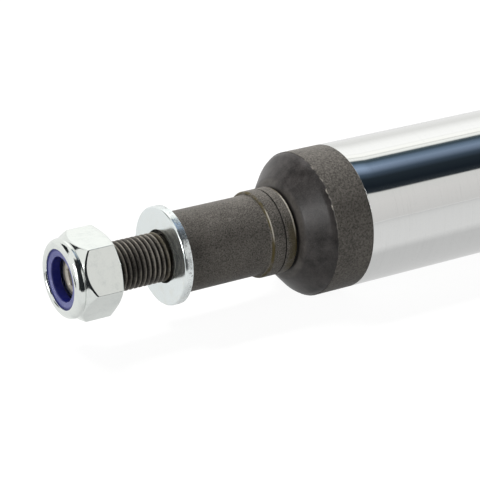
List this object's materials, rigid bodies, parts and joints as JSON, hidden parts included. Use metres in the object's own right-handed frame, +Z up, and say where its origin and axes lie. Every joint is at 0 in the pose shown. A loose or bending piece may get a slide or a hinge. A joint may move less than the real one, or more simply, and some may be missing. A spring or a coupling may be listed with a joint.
{
  "type": "shock absorber",
  "caption": "Gas-charged monotube strut insert: chromed body tube with a forged stud cap, nylon lock nut and washer, and a sliding piston rod with a foam bump stop.",
  "frame": {"origin": "on the axis, at the outer face of the top washer, where the vehicle's mount is clamped", "axes": "+X along the axis from the top stud towards the free end of the piston rod, +Z up as it lies"},
  "size_m": [0.575, 0.042, 0.042],
  "materials": {
    "phosphate_steel": "bead-blasted, dark phosphate coat",
    "chrome_steel": "ground, hard-chromed and polished",
    "zinc_steel": "bright zinc plate with a faint blue-green tint",
    "blue_nylon": "turned nylon, slightly waxy",
    "plain_steel": "ground and oiled",
    "sintered_iron": "pressed and sintered, oil-wet",
    "turned_aluminium": "fine turned",
    "slide_band": "filled PTFE",
    "bush_bronze": "bronze with a PTFE lining",
    "seal_rubber": "moulded nitrile rubber",
    "bump_foam": "moulded polyurethane foam with a closed skin",
    "black_plastic": "moulded, fine matt grain"
  },
  "bodies": {
    "body": {"top_cap": "phosphate_steel", "body_tube": "chrome_steel", "rod_guide": "turned_aluminium", "guide_bush": "bush_bronze", "guide_o_ring": "seal_rubber", "rod_seal": "seal_rubber", "seal_backing_washer": "plain_steel", "guide_stop_ring": "plain_steel", "retaining_ring": "plain_steel", "end_cover": "black_plastic", "dust_wiper": "seal_rubber"},
    "washer": {"top_washer": "zinc_steel"},
    "nut_carrier": {"nut_insert": "blue_nylon"},
    "nut": {"lock_nut": "zinc_steel"},
    "divider": {"floating_piston": "turned_aluminium", "floating_piston_o_ring": "seal_rubber", "floating_piston_band": "slide_band"},
    "piston_carrier": {"piston_band": "slide_band"},
    "rod": {"piston": "sintered_iron", "piston_nut": "plain_steel", "rebound_backing_washer": "plain_steel", "rebound_shims": "plain_steel", "compression_shims": "plain_steel", "compression_backing_washer": "plain_steel", "piston_rod": "chrome_steel", "rebound_stop_collar": "plain_steel", "stop_lock_ring": "plain_steel", "rebound_buffer": "seal_rubber", "bump_stop": "bump_foam", "bump_plate": "zinc_steel", "plate_clip": "plain_steel"}
  },
  "joints": [
    {"name": "rod_slide", "type": "slide", "parent": "body", "child": "piston_carrier", "axis": [1, 0, 0], "range_m": [-0.13, 0], "stiffness_N_per_m": 1400, "springref_m": 0.22, "deforming": ["bump_stop"]},
    {"name": "rod_turn", "type": "hinge", "parent": "piston_carrier", "child": "rod", "pos_m": [0, 0, 0], "axis": [1, 0, 0], "continuous": true},
    {"name": "divider_slide", "type": "slide", "parent": "body", "child": "divider", "axis": [1, 0, 0], "range_m": [-0.01976, 0.0001]},
    {"name": "nut_turn", "type": "hinge", "parent": "nut_carrier", "child": "nut", "pos_m": [0, 0, 0], "axis": [-1, 0, 0], "range_deg": [-4140, 2160], "deforming": ["nut_insert"]},
    {"name": "nut_travel", "type": "slide", "parent": "body", "child": "nut_carrier", "axis": [-1, 0, 0], "range_m": [-0.01725, 0.009]},
    {"name": "washer_turn", "type": "hinge", "parent": "body", "child": "washer", "pos_m": [0, 0, 0], "axis": [-1, 0, 0], "continuous": true}
  ],
  "couplings": [
    {"joint": "divider_slide", "follows": "rod_slide", "ratio": 0.15124},
    {"joint": "nut_travel", "follows": "nut_turn", "m_per_rad": 0.00023873}
  ]
}
